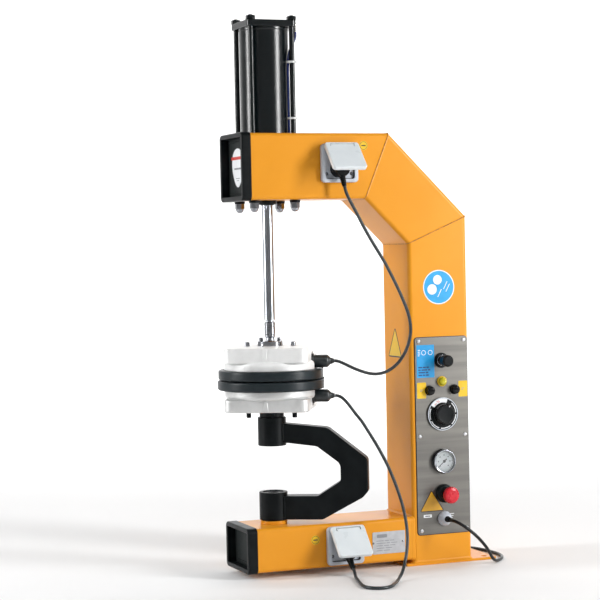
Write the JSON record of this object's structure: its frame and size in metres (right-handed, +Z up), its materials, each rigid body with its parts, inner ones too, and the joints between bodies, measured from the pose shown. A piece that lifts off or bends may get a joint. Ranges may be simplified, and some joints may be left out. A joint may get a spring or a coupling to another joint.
{
  "type": "pneumatic spot vulcanising press",
  "caption": "C-frame press: an air cylinder brings two round heated platens together, the lower one on a swinging gooseneck, with a control panel on the column.",
  "frame": {"origin": "on the floor, under the middle of the machine measured without its cords", "axes": "+Z up, +X from the arms' open ends to the column, -Y the operator's side with the panel and sockets"},
  "size_m": [0.6818, 0.5466, 1.268],
  "materials": {
    "orange_paint": "semi-gloss powder coat with slight orange peel",
    "black_paint": "gloss black enamel",
    "black_plastic": "moulded, fine satin grain",
    "zinc_steel": "zinc plated, satin",
    "hard_chrome": "ground and hard chromed",
    "cast_aluminium": "sand cast, machined faces",
    "black_rubber": "moulded silicone, satin",
    "cable_rubber": "round cable sheath, satin",
    "panel_steel": "dark brushed sheet",
    "grey_plastic": "moulded, smooth satin",
    "red_plastic": "moulded, gloss",
    "yellow_lens": "translucent lens",
    "gauge_glass": "clear flat window",
    "brass": "machined",
    "blue_hose": "smooth polyurethane"
  },
  "bodies": {
    "frame": {"frame_weldment": "orange_paint", "base_plate": "orange_paint", "pivot_collar": "orange_paint", "tie_rod_1": "black_paint", "tie_rod_2": "black_paint", "tie_rod_3": "black_paint", "tie_rod_4": "black_paint", "cylinder_tube": "black_paint", "cylinder_rear_cap": "black_paint", "cylinder_front_cap": "black_paint", "upper_end_cap": "black_plastic", "lower_end_cap": "black_plastic", "rod_bush": "black_plastic", "fuse_holder_left": "black_plastic", "fuse_holder_right": "black_plastic", "timer_body": "black_plastic", "gauge_case": "black_plastic", "estop_body": "black_plastic", "upper_plug": "black_plastic", "lower_plug": "black_plastic", "mains_plug": "black_plastic", "tie_rod_nut_1": "zinc_steel", "tie_rod_nut_2": "zinc_steel", "tie_rod_nut_3": "zinc_steel", "tie_rod_nut_4": "zinc_steel", "pivot_pin": "zinc_steel", "valve_body": "zinc_steel", "upper_lead": "cable_rubber", "lower_lead": "cable_rubber", "mains_lead": "cable_rubber", "mains_coil": "cable_rubber", "control_panel": "panel_steel", "upper_socket": "grey_plastic", "lower_socket": "grey_plastic", "mains_gland": "grey_plastic", "pilot_lamp": "yellow_lens", "gauge_lens": "gauge_glass", "air_elbow": "brass", "air_hose": "blue_hose"},
    "ram": {"piston": "cast_aluminium", "piston_rod": "hard_chrome", "rod_end": "zinc_steel", "upper_housing": "cast_aluminium", "upper_heater_ring": "black_rubber", "upper_heater_plate": "cast_aluminium", "upper_gland": "black_plastic"},
    "swing_arm": {"gooseneck": "black_paint", "lower_platen_post": "black_paint", "lower_housing": "cast_aluminium", "lower_heater_ring": "black_rubber", "lower_heater_plate": "cast_aluminium", "lower_gland": "black_plastic"},
    "upper_lid": {"upper_socket_lid": "grey_plastic"},
    "lower_lid": {"lower_socket_lid": "grey_plastic"},
    "needle": {"gauge_needle": "black_paint"},
    "timer": {"timer_knob": "black_plastic"},
    "valve": {"valve_knob": "black_plastic"},
    "fuse_left": {"fuse_cap_left": "black_plastic"},
    "fuse_right": {"fuse_cap_right": "black_plastic"},
    "stop_button": {"estop_button": "red_plastic"}
  },
  "joints": [
    {"name": "ram_slide", "type": "slide", "parent": "frame", "child": "ram", "axis": [0, 0, 1], "range_m": [0, 0.25]},
    {"name": "arm_swing", "type": "hinge", "parent": "frame", "child": "swing_arm", "pos_m": [-0.20294, 0.01398, 0.115], "axis": [0, 0, 1], "range_deg": [-60, 75]},
    {"name": "upper_lid_hinge", "type": "hinge", "parent": "frame", "child": "upper_lid", "pos_m": [-0.05694, -0.07732, 0.972], "axis": [-1, 0, 0], "range_deg": [0, 55], "stiffness_Nm_per_rad": 0.02, "springref_deg": -28.65},
    {"name": "lower_lid_hinge", "type": "hinge", "parent": "frame", "child": "lower_lid", "pos_m": [-0.06094, -0.07732, 0.1025], "axis": [-1, 0, 0], "range_deg": [0, 55], "stiffness_Nm_per_rad": 0.02, "springref_deg": -28.65},
    {"name": "gauge_needle_turn", "type": "hinge", "parent": "frame", "child": "needle", "pos_m": [0.19106, -0.06332, 0.24], "axis": [0, 1, 0], "range_deg": [0, 270], "stiffness_Nm_per_rad": 0.001},
    {"name": "timer_turn", "type": "hinge", "parent": "frame", "child": "timer", "pos_m": [0.19106, -0.06332, 0.35], "axis": [0, 1, 0], "range_deg": [0, 300]},
    {"name": "valve_turn", "type": "hinge", "parent": "frame", "child": "valve", "pos_m": [0.19106, -0.06332, 0.475], "axis": [0, 1, 0], "range_deg": [-60, 60]},
    {"name": "fuse_left_turn", "type": "hinge", "parent": "frame", "child": "fuse_left", "pos_m": [0.15906, -0.06332, 0.406], "axis": [0, -1, 0], "range_deg": [0, 45]},
    {"name": "fuse_right_turn", "type": "hinge", "parent": "frame", "child": "fuse_right", "pos_m": [0.22306, -0.06332, 0.406], "axis": [0, -1, 0], "range_deg": [0, 45]},
    {"name": "stop_press", "type": "slide", "parent": "frame", "child": "stop_button", "axis": [0, 1, 0], "range_m": [0, 0.005]}
  ]
}
